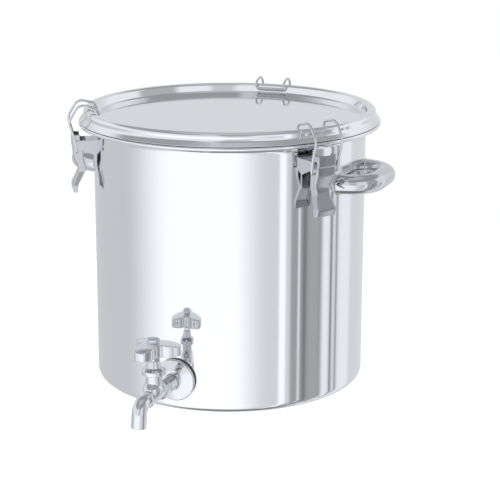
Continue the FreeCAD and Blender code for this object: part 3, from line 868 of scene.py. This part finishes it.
def lobed_radius(angles):
    """The handle's outline: three squared lobes joined by hollow waists, read off by angle."""
    corners, bends = [], []
    for lobe in range(3):
        for offset, radius, bend in ((-LOBE_TIP_HALF_ANGLE, LOBE_TIP_R, LOBE_TIP_BEND),
                                     (LOBE_TIP_HALF_ANGLE, LOBE_TIP_R, LOBE_TIP_BEND),
                                     (math.pi / 3, WAIST_R, WAIST_BEND)):
            turn = KNOB_FIRST_LOBE + lobe * 2 * math.pi / 3 + offset
            corners.append((radius * math.cos(turn), radius * math.sin(turn)))
            bends.append(bend)
    line = rounded(corners, bends, steps=16, closed=True)
    turns = np.arctan2(line[:, 1], line[:, 0])
    order = np.argsort(turns)
    return np.interp(angles, turns[order], np.hypot(line[:, 0], line[:, 1])[order], period=2 * math.pi)


def knob_points():
    """The lobed handle: angle round the spindle against a run from its crown, down the skirt and inside.

    Its top falls away as a shallow dome, h(r) = top - r^2 / (2 * dome radius), with a hollow round the
    cap between the lobes; its edge is a quarter round, and its skirt ends in a rolled lip.
    """
    a = np.linspace(0, 2 * math.pi, 360, endpoint=False)[None]
    rim = lobed_radius(a)
    edge = KNOB_EDGE
    share = np.linspace(0, 1, 22)[:, None] ** 0.8
    r_top = (rim - edge) * share
    hollow = HOLLOW_DEPTH * np.exp(-((r_top - HOLLOW_R) / HOLLOW_WIDTH) ** 2) * (1 - share)
    top = KNOB_TOP_Z - r_top ** 2 / (2 * KNOB_DOME_R) - hollow
    t = np.linspace(0, math.pi / 2, 7)[1:, None]
    r_edge = rim - edge + edge * np.sin(t)
    z_edge = top[-1:] - edge * (1 - np.cos(t))
    foot = KNOB_FOOT_Z + 0 * rim
    r_skirt = np.concatenate([rim, rim, rim - 0.5, rim - 1.3, rim - 1.8, rim - KNOB_SHEET])
    z_skirt = np.concatenate([foot + 1.6, foot + 0.5, foot, foot, foot + 0.8, top[-1:] - 3.0])
    r_in = (rim - KNOB_SHEET) * np.linspace(1, 0, 10)[1:, None]
    z_in = KNOB_TOP_Z - KNOB_CROWN_DROP - r_in ** 2 / (2 * KNOB_DOME_R)
    r = np.concatenate([r_top, r_edge, r_skirt, r_in])
    z = np.concatenate([top, z_edge, z_skirt, z_in])
    return np.stack([r * np.cos(a), r * np.sin(a), z], axis=2)


def make_tap_knob():
    """The handle with its hub, and the chrome cap that holds the coloured disc."""
    dress(surface("tap_knob", on_spindle(knob_points()), close_v=True), CHROME, "tap_knob", "tap_handle",
          slot="tap_chrome")
    hub = lathe("tap_knob_hub", HUB_OUTLINE, [0, 0.6, 0, 0], place=on_spindle)
    dress(hub, CHROME, "tap_knob", slot="tap_chrome")
    cap = lathe("tap_cap", CAP_OUTLINE, [0, 0.3, 0.3, 0.4, 0.6, 0.3, 0.1, 0], place=on_spindle)
    dress(cap, CHROME, "tap_knob", "tap_index_cap", slot="tap_chrome")
    disc = lathe("tap_cap_disc", DISC_OUTLINE, [0, 0, 0.4, 0], place=on_spindle)
    dress(disc, ENAMEL, "tap_knob", "tap_index_disc", slot="index_disc")


def make_tap_fittings():
    """The wall plate, the bonnet and the gland nut that show, and finishes for the pieces that don't."""
    plate = sheet_section(PLATE_OUTLINE, [0, 2.0, 6.0, 0.8, 0], PLATE_SHEET)
    dress(surface("tap_wall_plate", along_inlet(spin_points(plate, 160)), True, True), CHROME, "tank",
          "tap_escutcheon", slot="tap_chrome")
    bonnet = lathe("tap_bonnet_cone", BONNET_OUTLINE, [0, 0.8, 1.5, 1.0, 1.0, 0.5, 0], place=on_spindle)
    dress(bonnet, CHROME, "tank", "tap_bonnet", slot="tap_chrome")
    set_finish("tap_gland_nut", CHROME)
    for node in ("tap_inner_washer", "tap_lock_nut", "tap_packing_washer", "tap_spindle", "tap_jumper",
                 "tap_handle_screw"):
        set_finish(node, BRASS)
    for node in ("tap_outer_gasket", "tap_inner_gasket", "tap_seat_washer"):
        set_finish(node, RUBBER)
    for node in ("tap_bonnet_gasket", "tap_gland_packing"):
        set_finish(node, FIBRE)


bpy.context.scene.view_settings.view_transform = "Standard"
place_camera()
light_studio()
soft_light("key", (-0.9, -1.9, 1.9), 1.6, 18.0)
soft_light("fill", (1.8, -0.9, 1.5), 1.6, 9.0)
lay_floor()
make_tank()
make_lid()
make_handles()
make_clips()
make_tap_body()
make_tap_knob()
make_tap_fittings()
